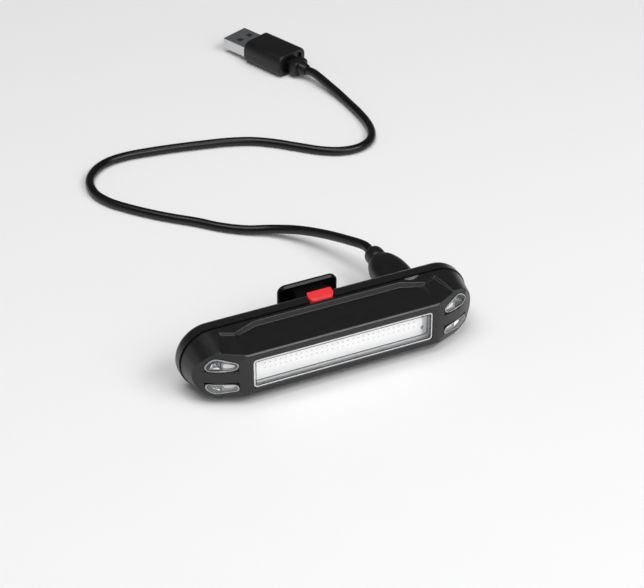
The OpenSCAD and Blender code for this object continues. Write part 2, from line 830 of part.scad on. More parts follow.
// Bead-like collar where the cord leaves the small plug, turned about the cord's line
module small_plug_collar() color("#202020") in_light()
    translate([port_x, plug_front + small_grip_length, port_z]) rotate([-90, 0, 0]) rotate_extrude()
        difference() {
            bead_start = 2 * collar_edge;
            bead_end = collar_length - 3 * collar_edge;
            union() {
                square([collar_radius - collar_edge, bead_start]);
                translate([0, bead_start - collar_edge])
                    square([collar_radius - collar_edge, bead_end - bead_start + 2 * collar_edge]);
                translate([0, bead_start]) square([collar_radius, bead_end - bead_start]);
                for (z = [bead_start, bead_end])
                    translate([collar_radius - collar_edge, z]) circle(collar_edge);
                translate([0, bead_end]) square([cord_radius + collar_edge, collar_length - bead_end]);
            }
            translate([-far, -far]) square([far, 2 * far]);
        }

// Points along a smooth curve through the route, two steps between each pair
function route_point(i) = CORD_ROUTE[max(0, min(len(CORD_ROUTE) - 1, i))];
function between(a, b, c, d, t) = 0.5 * (2 * b + (c - a) * t + (2 * a - 5 * b + 4 * c - d) * t * t
    + (3 * b - a - 3 * c + d) * t * t * t);
CORD_STEPS = 2;
CORD_PATH = [
    for (i = [0 : len(CORD_ROUTE) - 2], k = [0 : CORD_STEPS - 1])
        between(route_point(i - 1), route_point(i), route_point(i + 1), route_point(i + 2), k / CORD_STEPS),
    CORD_ROUTE[len(CORD_ROUTE) - 1]
];
function unit(v) = v / norm(v);
function heading(i) = i == 0 ? [0, 1, 0]
    : i == len(CORD_PATH) - 1 ? [-cord_turn[0], -cord_turn[1], 0]
    : unit(CORD_PATH[i + 1] - CORD_PATH[i - 1]);

module charge_cord() color("#161616") {
    rings = len(CORD_PATH);
    points = [
        for (i = [0 : rings - 1], k = [0 : CORD_SIDES - 1])
            let (side = unit(cross(heading(i), [0, 0, 1])), up = cross(side, heading(i)),
                turn = 360 * (k + 0.5) / CORD_SIDES)
            CORD_PATH[i] + cord_radius * (cos(turn) * side + sin(turn) * up)
    ];
    first_cap = [for (k = [1 : CORD_SIDES - 2]) [0, k, k + 1]];
    last = (rings - 1) * CORD_SIDES;
    last_cap = [for (k = [1 : CORD_SIDES - 2]) [last, last + k + 1, last + k]];
    skin = [
        for (i = [0 : rings - 2], k = [0 : CORD_SIDES - 1], half = [0, 1])
            let (a = i * CORD_SIDES + k, b = i * CORD_SIDES + (k + 1) % CORD_SIDES)
            half == 0 ? [a, a + CORD_SIDES, b] : [b, a + CORD_SIDES, b + CORD_SIDES]
    ];
    polyhedron(points, concat(first_cap, skin, last_cap));
}

// Moves to the large plug: origin at the middle of the grip's cord end, +Y along the cord
module at_large_plug() {
    translate([large_end[0], large_end[1], large_mid_z]) rotate([0, 0, large_turn - 90]) children();
}

module large_plug_relief() color("#1e1e1e") at_large_plug() {
    tip_radius = cord_radius + 0.5;
    through(0, relief_root[2]) rounded([relief_root[0], relief_root[1]], 1);
    through(relief_root[2], relief_block[2]) rounded([relief_block[0], relief_block[1]], 1.6);
    rotate([-90, 0, 0]) translate([0, 0, relief_block[2]])
        cylinder(r1 = relief_block[1] / 2 - slip, r2 = tip_radius, h = relief_length - relief_block[2]);
}

module large_plug_grip() color("#222222") at_large_plug() difference() {
    through(-large_grip_length, 0) rounded([large_grip_width, large_grip_thickness], large_grip_corner);
    through(-end_recess[2], 1) difference() {
        rounded([end_recess[0], end_recess[1]], end_recess_corner);
        rounded([relief_root[0], relief_root[1]], 1);
    }
    through(-large_grip_length - 1, -large_grip_length + shell_seat)
        rounded([large_shell[0] + 2 * eps, large_shell[1] + 2 * eps], large_shell_corner);
}

module large_plug_shell() color("#c6c8cc") at_large_plug() translate([0, -large_grip_length, 0])
    difference() {
        through(-large_shell[2], shell_seat) rounded([large_shell[0], large_shell[1]], large_shell_corner);
        through(-large_shell[2] - 1, 0) rounded(
            [large_shell[0] - 2 * large_shell_wall, large_shell[1] - 2 * large_shell_wall],
            large_shell_corner - slip);
        for (s = [-1, 1])
            translate([s * shell_window_place[0], shell_window_place[1], 0])
                cube([shell_window[0], shell_window[1], far], center = true);
    }

module large_plug_tongue() color("#1c1c20") at_large_plug() translate([0, -large_grip_length, 0])
    translate([-tongue_size[0] / 2, -tongue_size[2], large_shell[1] / 2 - large_shell_wall - tongue_size[1]])
        cube([tongue_size[0], tongue_size[2], tongue_size[1]]);

module large_plug_contacts() color("#d8b45a") at_large_plug() translate([0, -large_grip_length, 0])
    for (i = [-1.5 : 1 : 1.5])
        translate([i * contact_pitch - contact_size[0] / 2, -contact_size[2] - contact_inset,
            large_shell[1] / 2 - large_shell_wall - tongue_size[1] - contact_size[1]])
            cube([contact_size[0], contact_size[2], contact_size[1]]);

front_case();
rear_cover();
case_seal();
case_screws();
window_lens();
side_lens_left_upper();
side_lens_left_lower();
side_lens_right_upper();
side_lens_right_lower();
reflector();
led_board();
led_chips();
led_leads();
battery_pad();
battery();
battery_leads();
main_pcb();
pcb_screws();
micro_usb_port();
switch_body();
switch_plunger();
power_button();
port_flap();
strap_hook();
hook_screws();
small_plug_shell();
small_plug_grip();
small_plug_collar();
charge_cord();
large_plug_relief();
large_plug_grip();
large_plug_shell();
large_plug_tongue();
large_plug_contacts();
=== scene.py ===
import json
import math
import bpy
import bmesh
from mathutils import Matrix, Vector


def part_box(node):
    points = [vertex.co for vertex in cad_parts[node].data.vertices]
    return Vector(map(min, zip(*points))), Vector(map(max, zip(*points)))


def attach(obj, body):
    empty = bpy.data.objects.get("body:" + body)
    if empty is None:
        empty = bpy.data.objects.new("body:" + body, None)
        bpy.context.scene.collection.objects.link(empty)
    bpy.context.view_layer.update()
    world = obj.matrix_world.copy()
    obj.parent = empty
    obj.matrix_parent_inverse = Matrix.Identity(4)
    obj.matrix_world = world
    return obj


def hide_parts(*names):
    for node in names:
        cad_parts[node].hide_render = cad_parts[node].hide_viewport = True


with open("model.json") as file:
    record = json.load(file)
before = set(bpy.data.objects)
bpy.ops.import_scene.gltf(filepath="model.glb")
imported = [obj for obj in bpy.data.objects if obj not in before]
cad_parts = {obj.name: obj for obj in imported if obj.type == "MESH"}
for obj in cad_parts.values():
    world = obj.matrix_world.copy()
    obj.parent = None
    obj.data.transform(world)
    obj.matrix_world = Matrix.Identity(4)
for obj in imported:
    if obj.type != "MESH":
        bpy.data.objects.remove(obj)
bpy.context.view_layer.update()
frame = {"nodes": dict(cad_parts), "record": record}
nodes = frame["nodes"]
mounts = {mount["name"]: mount for mount in frame["record"]["mounts"]}
scene = bpy.context.scene
scene.view_settings.view_transform = "Standard"
MM = 0.001


# Camera, at the photograph's viewing angle

IMAGE_WIDTH = 644
FOCAL_PIXELS = 2300
SENSOR_WIDTH = 36
CLIP_START = 10 * MM
CAMERA_PLACE = (-254.89 * MM, -542.16 * MM, 433.13 * MM)
CAMERA_PITCH = 34.38
CAMERA_YAW = 25.09

camera_data = bpy.data.cameras.new("camera")
camera_data.sensor_width = SENSOR_WIDTH
camera_data.lens = FOCAL_PIXELS * SENSOR_WIDTH / IMAGE_WIDTH
camera_data.clip_start = CLIP_START
camera = bpy.data.objects.new("camera", camera_data)
camera.location = CAMERA_PLACE
camera.rotation_euler = (math.radians(90 - CAMERA_PITCH), 0, math.radians(-CAMERA_YAW))
scene.collection.objects.link(camera)
scene.camera = camera


# Steps of material making

# Scales of the slow patterns, in waves per metre
FLOW_SCALE = 90
GLOSS_SCALE = 260
SMUDGE_SCALE = 300
CREASE_SCALE = 350
HAZE_SCALE = 500
MASK_SCALE = 800


def new_material(name):
    """A material with its node tree, shader and object coordinates."""
    material = bpy.data.materials.new(name)
    material.use_nodes = True
    tree = material.node_tree
    shader = tree.nodes["Principled BSDF"]
    place = tree.nodes.new("ShaderNodeTexCoord").outputs["Object"]
    return material, tree, shader, place


def noise(tree, place, scale, detail=3.0, rough=0.5):
    node = tree.nodes.new("ShaderNodeTexNoise")
    node.inputs["Scale"].default_value = scale
    node.inputs["Detail"].default_value = detail
    node.inputs["Roughness"].default_value = rough
    tree.links.new(place, node.inputs["Vector"])
    return node.outputs["Fac"]


def mapped(tree, place, setting, value):
    """Coordinates with one setting of a mapping, such as a scale or a rotation."""
    node = tree.nodes.new("ShaderNodeMapping")
    node.inputs[setting].default_value = value
    tree.links.new(place, node.inputs["Vector"])
    return node.outputs["Vector"]


def spread(tree, fac, low, high):
    """Maps a noise's middle range to low..high."""
    node = tree.nodes.new("ShaderNodeMapRange")
    node.inputs["From Min"].default_value = 0.3
    node.inputs["From Max"].default_value = 0.7
    node.inputs["To Min"].default_value = low
    node.inputs["To Max"].default_value = high
    tree.links.new(fac, node.inputs["Value"])
    return node.outputs["Result"]


def uneven(tree, fac, middle, share):
    """A value that varies about its middle by a share of it."""
    return spread(tree, fac, middle * (1 - share), min(1.0, middle * (1 + share)))


def blend_colours(tree, fac, first, second):
    node = tree.nodes.new("ShaderNodeMix")
    node.data_type = "RGBA"
    node.inputs["A"].default_value = (*first, 1)
    node.inputs["B"].default_value = (*second, 1)
    tree.links.new(fac, node.inputs["Factor"])
    return node.outputs["Result"]


def bump(tree, height, strength, depth):
    """A bumped normal; depth is in millimetres."""
    node = tree.nodes.new("ShaderNodeBump")
    node.inputs["Strength"].default_value = strength
    node.inputs["Distance"].default_value = depth * MM
    tree.links.new(height, node.inputs["Height"])
    return node.outputs["Normal"]


def linear(red, green, blue):
    """Linear colour of an 8-bit display colour."""
    return tuple(
        c / 12.92 if c <= 0.04045 else ((c + 0.055) / 1.055) ** 2.4
        for c in (red / 255, green / 255, blue / 255)
    )


def shaded(colour, factor):
    return tuple(c * factor for c in colour)


# Kinds of finish; grain and ripple are in waves per metre, depth in millimetres

def moulded(name, colour, roughness, grain=6000, depth=0.02, specular=0.5, variety=0.15, painted_glow=0.0):
    """Moulded plastic or rubber: fine grain, faint flow marks and uneven gloss; painted_glow is a painted
    glow, for parts that are no lamp.
    """
    material, tree, shader, place = new_material(name)
    fine = noise(tree, place, grain, detail=2.0)
    flow = noise(tree, place, FLOW_SCALE, detail=4.0)
    tint = blend_colours(tree, flow, shaded(colour, 1 - variety), shaded(colour, 1 + variety))
    tree.links.new(tint, shader.inputs["Base Color"])
    patch = noise(tree, place, GLOSS_SCALE)
    tree.links.new(uneven(tree, patch, roughness, share=0.15), shader.inputs["Roughness"])
    tree.links.new(bump(tree, fine, strength=0.35, depth=depth), shader.inputs["Normal"])
    shader.inputs["Specular IOR Level"].default_value = specular
    # painted glow: the part shines in its own colour though it is no lamp
    if painted_glow:
        shader.inputs["Emission Color"].default_value = (*colour, 1)
        shader.inputs["Emission Strength"].default_value = painted_glow
    return material


def metal(name, colour, roughness, along):
    """Drawn or plated metal; along is the scale of its fine lines in x, y and z."""
    material, tree, shader, place = new_material(name)
    lines = noise(tree, mapped(tree, place, "Scale", along), scale=1.0, detail=4.0)
    smudge = noise(tree, place, SMUDGE_SCALE)
    tint = blend_colours(tree, smudge, shaded(colour, 0.88), colour)
    tree.links.new(tint, shader.inputs["Base Color"])
    tree.links.new(uneven(tree, lines, roughness, share=0.3), shader.inputs["Roughness"])
    tree.links.new(bump(tree, lines, strength=0.15, depth=0.01), shader.inputs["Normal"])
    shader.inputs["Metallic"].default_value = 1.0
    return material


def clear(name, colour, roughness, ripple, cover, depth=0.05):
    """Clear plastic with a faint ripple and a trace of haze; cover is the share that it hides."""
    material, tree, shader, place = new_material(name)
    wave = noise(tree, place, ripple, detail=2.0)
    haze = noise(tree, place, HAZE_SCALE)
    tint = blend_colours(tree, haze, shaded(colour, 0.9), colour)
    tree.links.new(tint, shader.inputs["Base Color"])
    tree.links.new(uneven(tree, haze, roughness, share=0.4), shader.inputs["Roughness"])
    tree.links.new(bump(tree, wave, strength=0.08, depth=depth), shader.inputs["Normal"])
    shader.inputs["Alpha"].default_value = cover
    return material


def board_finish(name, mask, trace):
    """Circuit board: solder mask over faint square traces."""
    material, tree, shader, place = new_material(name)
    cells = tree.nodes.new("ShaderNodeTexBrick")
    cells.inputs["Scale"].default_value = 420
    cells.inputs["Mortar Size"].default_value = 0.03
    cells.inputs["Color1"].default_value = (*mask, 1)
    cells.inputs["Color2"].default_value = (*shaded(mask, 0.92), 1)
    cells.inputs["Mortar"].default_value = (*trace, 1)
    tree.links.new(mapped(tree, place, "Rotation", (math.radians(90), 0, 0)), cells.inputs["Vector"])
    tree.links.new(cells.outputs["Color"], shader.inputs["Base Color"])
    patch = noise(tree, place, MASK_SCALE, detail=2.0)
    tree.links.new(spread(tree, patch, low=0.3, high=0.45), shader.inputs["Roughness"])
    tree.links.new(bump(tree, cells.outputs["Fac"], strength=0.2, depth=0.02), shader.inputs["Normal"])
    return material


def foil(name, colour):
    """Crinkled pouch foil."""
    material, tree, shader, place = new_material(name)
    crease = noise(tree, place, CREASE_SCALE, detail=6.0, rough=0.6)
    tree.links.new(blend_colours(tree, crease, shaded(colour, 0.8), colour), shader.inputs["Base Color"])
    tree.links.new(spread(tree, crease, low=0.25, high=0.45), shader.inputs["Roughness"])
    tree.links.new(bump(tree, crease, strength=0.5, depth=0.1), shader.inputs["Normal"])
    shader.inputs["Metallic"].default_value = 1.0
    return material


# Finishes of the case and of what is fixed to it
SATIN_GRAIN = 5200
CASE = moulded("case_plastic", linear(20, 20, 21), 0.3, grain=SATIN_GRAIN)
COVER = moulded("cover_plastic", linear(19, 19, 20), 0.3, grain=SATIN_GRAIN)
SEAL = moulded("seal_rubber", linear(8, 8, 8), 0.7, specular=0.2)
HOOK = moulded("hook_gloss", linear(6, 6, 6), 0.2, grain=2600, depth=0.004, specular=0.18)
BUTTON = moulded("button_red", linear(224, 46, 52), 0.5, grain=SATIN_GRAIN, specular=0.3, variety=0.04)
FLAP = moulded("flap_rubber", linear(34, 34, 34), 0.6, specular=0.3)
STEEL = metal("screw_steel", (0.5, 0.5, 0.52), 0.3, along=(9000, 400, 9000))

# Finishes of the window and the strip behind it
PANE = clear("window_clear", (0.94, 0.95, 0.96), 0.05, ripple=180, cover=0.07)
# Light-grey, mostly covering edge of the clear pane: a painted highlight of its edges
PANE_EDGE_HIGHLIGHT = clear("window_edge_painted_highlight", (0.9, 0.91, 0.92), 0.12, ripple=400, cover=0.75, depth=0.01)
# Dark, mostly covering groove ring: painted shade inside the pane's edge
PANE_GROOVE_SHADE = clear("window_groove_painted_shade", (0.05, 0.05, 0.055), 0.2, ripple=400, cover=0.7, depth=0.01)
REFLECTOR = moulded("reflector_white", linear(206, 208, 210), 0.3, variety=0.03)
# White board, made a little whiter and given a faint glow: painted light against the shade of its recess
LED_BOARD = moulded("led_board_white", linear(224, 226, 227), 0.4, specular=0.4, variety=0.03, painted_glow=0.06)
# The strip's white is its own; its glow is painted light, since the strip is not lit
STRIP_WHITE_PAINTED_GLOW = moulded("led_strip_white", linear(247, 247, 247), 0.45, specular=0.3, variety=0.01, painted_glow=0.26)
# Dark grey ring: a painted shadow line where the board meets the reflector
STRIP_SHADOW_LINE = moulded("strip_painted_shadow_line", linear(86, 87, 88), 0.4, variety=0.08)
# The chips' pink tint is their own; their glow is painted light
LED_CHIP = moulded("led_chip", linear(236, 220, 221), 0.3, specular=0.4, variety=0.04, painted_glow=0.15)
SOLDER = metal("solder", (0.42, 0.43, 0.45), 0.3, along=(1500, 1500, 1500))

# Finishes of the side lenses
SIDE_PANE = clear("side_lens_clear", (0.8, 0.82, 0.84), 0.05, ripple=400, cover=0.1)
# Lower lens faces: paler and more covering than the upper ones, as a painted sheen
SIDE_PANE_LOW_SHEEN = clear("side_lens_pale_painted_sheen", (0.86, 0.87, 0.88), 0.14, ripple=700, cover=0.24)
# Grey, mostly covering lens rim: a painted highlight of the lens edge
SIDE_EDGE_HIGHLIGHT = clear("side_lens_edge_painted_highlight", (0.5, 0.51, 0.52), 0.12, ripple=400, cover=0.75, depth=0.01)
SIDE_GASKET = moulded("side_lens_gasket", linear(8, 8, 8), 0.5, specular=0.2)
SIDE_CUP = moulded("side_lens_facet", linear(120, 121, 123), 0.25, specular=0.7, variety=0.1)
SIDE_WELL = moulded("side_lens_well", linear(236, 237, 238), 0.3, specular=0.6, variety=0.06)
SIDE_PRISM = metal("side_lens_prism", (0.42, 0.43, 0.45), 0.22, along=(900, 900, 900))

# Finishes inside the case
RED_WIRE = moulded("red_wire", linear(176, 30, 30), 0.4)
BLACK_WIRE = moulded("black_wire", linear(30, 30, 30), 0.4)
FOAM = moulded("foam_pad", linear(44, 44, 48), 0.9, grain=1800, depth=0.2, specular=0.2)
BATTERY = foil("battery_foil", (0.62, 0.65, 0.68))
BOARD = board_finish("board_green", linear(26, 92, 52), linear(58, 128, 74))
SWITCH = moulded("switch_plastic", linear(56, 56, 58), 0.5)
PLUNGER = moulded("plunger_plastic", linear(228, 222, 210), 0.4, variety=0.04)

# Finishes of the lead and the charging port
LINES_ALONG_X = (300, 7000, 7000)
PLUG = moulded("plug_black", linear(15, 15, 15), 0.38, grain=SATIN_GRAIN, specular=0.4)
CORD = moulded("cord_black", linear(7, 7, 7), 0.28, grain=2200, depth=0.003, specular=0.4)
PLUG_STEEL = metal("port_steel", (0.66, 0.67, 0.69), 0.22, along=LINES_ALONG_X)
TONGUE = moulded("tongue_plastic", linear(26, 26, 30), 0.5)
GOLD = metal("contact_gold", (0.78, 0.56, 0.22), 0.25, along=LINES_ALONG_X)

# Solids that keep their own shape
NODE_FINISH = {
    "rear_cover": COVER, "case_seal": SEAL, "case_screws": STEEL,
    "reflector": REFLECTOR, "led_board": LED_BOARD, "led_chips": LED_CHIP, "led_leads": RED_WIRE,
    "battery_pad": FOAM, "battery": BATTERY, "battery_leads": BLACK_WIRE, "main_pcb": BOARD,
    "pcb_screws": STEEL, "micro_usb_port": PLUG_STEEL, "switch_body": SWITCH,
    "switch_plunger": PLUNGER, "power_button": BUTTON, "port_flap": FLAP, "strap_hook": HOOK,
    "hook_screws": STEEL, "small_plug_shell": PLUG_STEEL, "large_plug_shell": PLUG_STEEL,
    "large_plug_tongue": TONGUE, "large_plug_contacts": GOLD,
}
for node_name, finish in NODE_FINISH.items():
    node_data = nodes[node_name].data
    node_data.materials.clear()
    node_data.materials.append(finish)


# Shapes that repeat

ARC_STEPS = 8
EDGE_STEPS = 5
TURN_STEPS = 64
HAIR = 0.001 * MM
SMALLEST_CORNER = 0.05 * MM
WELD_DISTANCE = 0.002 * MM


def add_piece(name, mesh, materials, body):
    """Links a finished mesh or curve as a piece of the object."""
    piece = bpy.data.objects.new(name, mesh)
    scene.collection.objects.link(piece)
    for material in materials:
        mesh.materials.append(material)
    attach(piece, body)
    return piece


def in_metres(rows):
    """Rows of millimetres as rows of metres."""
    return [tuple(value * MM for value in row) for row in rows]


def rounded_ring(width, height, corner):
    """Points round a rounded rectangle in x and z."""
    corner = min(corner, width / 2 - HAIR, height / 2 - HAIR)
    points = []
    for quarter, (side, level) in enumerate(((1, 1), (-1, 1), (-1, -1), (1, -1))):
        middle_x = side * (width / 2 - corner)
        middle_z = level * (height / 2 - corner)
        for i in range(ARC_STEPS + 1):
            turn = math.radians(90 * (quarter + i / ARC_STEPS))
            points.append((middle_x + corner * math.cos(turn), middle_z + corner * math.sin(turn)))
    return points


def edge_sections(end, inward, size, corner, radius):
    """Sections of a rounded edge, from the full size to the end; inward is the way into the piece."""
    made = []
    for i in range(EDGE_STEPS + 1):
        turn = math.radians(90 * i / EDGE_STEPS)
        inset = radius * (1 - math.cos(turn))
        along = end + inward * radius * (1 - math.sin(turn))
        made.append((along, size[0] - 2 * inset, size[1] - 2 * inset, max(corner - inset, SMALLEST_CORNER)))
    return made


def join_rings(made, first, second, finish=0):
    """Faces between two rings of points."""
    for k in range(len(first)):
        n = (k + 1) % len(first)
        made.faces.new((first[k], first[n], second[n], second[k])).material_index = finish


def close_ends(made, rings, first_finish=0, last_finish=0):
    made.faces.new(rings[0]).material_index = first_finish
    made.faces.new(list(reversed(rings[-1]))).material_index = last_finish


def finish_mesh(name, made, place, sharp=35):
    """The mesh in its place, smooth but for edges sharper than an angle in degrees."""
    bmesh.ops.recalc_face_normals(made, faces=made.faces)
    made.transform(place)
    mesh = bpy.data.meshes.new(name)
    made.to_mesh(mesh)
    made.free()
    for face in mesh.polygons:
        face.use_smooth = True
    mesh.set_sharp_from_angle(angle=math.radians(sharp))
    return mesh


def loft(name, sections, place, bands=None):
    """A closed mesh through rounded rectangles (distance, width, height, corner) along local y;
    bands gives each stretch between sections, then the two caps, its material."""
    made = bmesh.new()
    rings = []
    for along, width, height, corner in sections:
        rings.append([made.verts.new((x, along, z)) for x, z in rounded_ring(width, height, corner)])
    bands = bands or [0] * (len(rings) + 1)
    for first, second, band in zip(rings, rings[1:], bands):
        join_rings(made, first, second, band)
    close_ends(made, rings, bands[-2], bands[-1])
    return finish_mesh(name, made, place)


def lathe(name, profile, place):
    """A closed mesh turned about local y from (distance, radius) points."""
    turns = [2 * math.pi * k / TURN_STEPS for k in range(TURN_STEPS)]
    made = bmesh.new()
    rings = []
    for along, radius in profile:
        ring = [(radius * math.cos(turn), along, radius * math.sin(turn)) for turn in turns]
        rings.append([made.verts.new(point) for point in ring])
    for first, second in zip(rings, rings[1:]):
        join_rings(made, first, second)
    close_ends(made, rings)
    return finish_mesh(name, made, place)


def soften(node, width, clamp):
    """Rounds the sharp edges of a solid a little; clamp keeps neighbouring edges from crossing."""
    weld = node.modifiers.new("weld", "WELD")
    weld.merge_threshold = WELD_DISTANCE
    flat = node.modifiers.new("flat", "DECIMATE")
    flat.decimate_type = "DISSOLVE"
    flat.angle_limit = math.radians(0.5)
    edge = node.modifiers.new("edge", "BEVEL")
    edge.width = width
    edge.segments = 2
    edge.limit_method = "ANGLE"
    edge.angle_limit = math.radians(25)
    edge.use_clamp_overlap = clamp
    even = node.modifiers.new("even", "WEIGHTED_NORMAL")
    even.keep_sharp = True


def smooth_line(route, steps):
    """Points along a smooth curve through the route."""
    line = []
    last = len(route) - 1
    for i in range(last):
        a, b, c, d = (route[max(0, min(last, i + k))] for k in (-1, 0, 1, 2))
        for k in range(steps):
            t = k / steps
            line.append(0.5 * (2 * b + (c - a) * t + (2 * a - 5 * b + 4 * c - d) * t * t
                               + (3 * b - a - 3 * c + d) * t * t * t))
    return line + [route[-1]]


def closed_line(corners, steps):
    """Points along a smooth closed curve through its corners."""
    count = len(corners)
    wrapped = [Vector(corners[k % count]) for k in range(-2, count + 3)]
    line = smooth_line(wrapped, steps)
    return [tuple(p) for p in line[2 * steps:(count + 2) * steps]]


# Charging cord, from the collar of the small plug to the relief of the large one

CORD_THICKNESS = 3.2
CORD_DIAMETER = CORD_THICKNESS * MM
CORD_STEPS = 8
LIE = CORD_THICKNESS / 2
STRAIGHT_RUN = 4 * MM
EXIT_DROP = Vector((-0.3 * MM, STRAIGHT_RUN, -0.2 * MM))
LARGE_SHELL_LENGTH = 12 * MM
LARGE_GRIP = (14.8 * MM, 8 * MM, 19.2 * MM)
RELIEF_LENGTH = 8 * MM

plug_axis = Vector(mounts["large_plug"]["axis"]).normalized()
plug_tip = Vector(mounts["large_plug"]["pos_m"])
large_end = plug_tip - plug_axis * (LARGE_SHELL_LENGTH + LARGE_GRIP[2])
relief_tip = large_end - plug_axis * RELIEF_LENGTH
run_start = relief_tip - plug_axis * STRAIGHT_RUN

collar_low, collar_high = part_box("small_plug_collar")
port_x = (collar_low.x + collar_high.x) / 2
port_z = (collar_low.z + collar_high.z) / 2
cord_start = Vector((port_x, collar_high.y, port_z))

# Middle of the cord in millimetres, between its straight ends
CORD_MIDDLE = [
    (29.4, 43, 9.9), (25.2, 54, 7.2), (19.6, 63.8, 4.7), (12.8, 70.8, 2.8), (5.4, 75.6, 1.8),
    (-1.7, 81.2, LIE), (-8, 87.7, LIE), (-14.6, 93.6, LIE), (-21, 100, LIE), (-27.5, 107.6, LIE),
    (-31.4, 113.5, LIE), (-33.6, 120.5, LIE), (-32.6, 128.6, LIE), (-28.2, 135, LIE),
    (-21.7, 138.8, LIE), (-14, 139.8, LIE), (-5, 139, LIE), (4, 137.6, LIE), (13, 135.8, LIE),
    (22.5, 133.6, LIE), (31, 130.4, LIE), (38.3, 125.5, LIE), (45.4, 119, LIE), (52, 113.2, LIE),
    (58.5, 109.8, LIE), (65.4, 109.4, LIE), (71.2, 112.6, LIE), (74.6, 118.6, LIE), (76, 126, LIE),
    (76.2, 134, LIE), (75.9, 141, LIE), (75.2, 147.8, 2.1), (73.9, 154.4, 3),
]
cord_route = [cord_start, cord_start + EXIT_DROP]
cord_route += [Vector(point) * MM for point in CORD_MIDDLE]
cord_route += [run_start, relief_tip]

cord_line = smooth_line(cord_route, CORD_STEPS)
cord_curve = bpy.data.curves.new("charge_lead", "CURVE")
cord_curve.dimensions = "3D"
cord_curve.bevel_depth = CORD_DIAMETER / 2
cord_curve.bevel_resolution = 8
cord_curve.use_fill_caps = True
cord_spline = cord_curve.splines.new("POLY")
cord_spline.points.add(len(cord_line) - 1)
for point, co in zip(cord_spline.points, cord_line):
    point.co = (*co, 1)
cord_spline.use_smooth = True
cord = add_piece("charge_lead", cord_curve, [CORD], "lead")
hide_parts("charge_cord")


# Small plug on the cord, at the light

# Sections of the grip in millimetres: distance from its light end, width, thickness, corner radius
SMALL_GRIP = [
    (0, 9.2, 6.8, 2.8), (2, 10.6, 7.4, 3.2), (4, 11.6, 7.8, 3.5), (8, 12.8, 8.2, 3.8), (12, 13, 8.2, 3.8),
    (15.5, 12.2, 8, 3.7), (18.5, 10.5, 7.5, 3.5), (20.3, 8.6, 6.8, 3.2), (21, 7, 5.8, 2.8),
]
SMALL_GRIP_STEPS = 4
# The collar is a groove, a bead and a thin tail on the cord
GROOVE_RADIUS = 2.6 * MM
BEAD_RADIUS = 3.4 * MM
BEAD_START = 1.1 * MM
BEAD_END = 5.9 * MM
BEAD_STEPS = 12
BEAD_FULLNESS = 0.6
TAIL_RADIUS = CORD_DIAMETER / 2 + 0.25 * MM
# Length and change of radius at each end of the tail
TAIL_ROOT = (0.2 * MM, 0.3 * MM)
TAIL_TIP = (0.3 * MM, -0.2 * MM)


def small_grip():
    sections = in_metres(smooth_line([Vector(step) for step in SMALL_GRIP], SMALL_GRIP_STEPS))
    light_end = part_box("small_plug_grip")[0].y
    mesh = loft("small_plug_body", sections, Matrix.Translation((port_x, light_end, port_z)))
    piece = add_piece("small_plug_body", mesh, [PLUG], "lead")
    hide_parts("small_plug_grip")
    return piece


def small_collar():
    length = collar_high.y - collar_low.y
    profile = [(0, GROOVE_RADIUS)]
    for i in range(BEAD_STEPS + 1):
        turn = math.pi * i / BEAD_STEPS
        along = BEAD_START + (BEAD_END - BEAD_START) * (1 - math.cos(turn)) / 2
        proud = (BEAD_RADIUS - GROOVE_RADIUS) * math.sin(turn) ** BEAD_FULLNESS
        profile.append((along, GROOVE_RADIUS + proud))
    profile.append((BEAD_END + TAIL_ROOT[0], TAIL_RADIUS + TAIL_ROOT[1]))
    profile.append((length - TAIL_TIP[0], TAIL_RADIUS))
    profile.append((length, TAIL_RADIUS + TAIL_TIP[1]))
    mesh = lathe("small_plug_bead", profile, Matrix.Translation((port_x, collar_low.y, port_z)))
    piece = add_piece("small_plug_bead", mesh, [PLUG], "lead")
    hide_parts("small_plug_collar")
    return piece


small_plug_pieces = [small_grip(), small_collar()]


# Large plug at the far end of the cord; local y runs along the cord, away from the plug

# The grip is a little taller than its solid, upwards
GRIP_CROWN = 1 * MM
GRIP_CORNER = 3.4 * MM
GRIP_FRONT_ROUND = 0.6 * MM
GRIP_BACK_ROUND = 0.7 * MM
# Pocket round the relief in millimetres: distance, width, height, corner radius
POCKET = [(0, 10.8, 6.4, 2), (-0.15, 10.4, 6, 1.8), (-1, 10.3, 5.9, 1.7)]
# The relief is a root in the pocket, a wider block and a sleeve on the cord; distances are from the grip
ROOT_START = -1 * MM
ROOT = (6 * MM, 4.4 * MM, 1 * MM)
BLOCK = (7.4 * MM, 6 * MM)
BLOCK_CORNER = 1.8 * MM
BLOCK_START = 1.2 * MM
BLOCK_END = 5 * MM
BLOCK_FRONT_ROUND = 0.4 * MM
BLOCK_BACK_ROUND = 0.6 * MM
SLEEVE = CORD_DIAMETER + 1 * MM
# Sleeve sections: distance, change of width from the sleeve's own, corner radius
SLEEVE_STEPS = [(5.1 * MM, 0.9 * MM, 2.2 * MM), (7.6 * MM, 0, 2 * MM), (RELIEF_LENGTH, -0.5 * MM, 1.8 * MM)]

cord_heading = -plug_axis
cord_turn = math.atan2(cord_heading.y, cord_heading.x) - math.radians(90)
large_place = Matrix.Translation(large_end) @ Matrix.Rotation(cord_turn, 4, "Z")


def large_grip():
    width, height, length = LARGE_GRIP
    size = (width, height + GRIP_CROWN)
    sections = edge_sections(-length, 1, size, GRIP_CORNER, GRIP_FRONT_ROUND)[::-1]
    sections += edge_sections(0, -1, size, GRIP_CORNER, GRIP_BACK_ROUND)
    sections += in_metres(POCKET)
    mesh = loft("large_plug_body", sections, Matrix.Translation((0, 0, GRIP_CROWN / 2)) @ large_place)
    piece = add_piece("large_plug_body", mesh, [PLUG], "lead")
    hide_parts("large_plug_grip")
    return piece


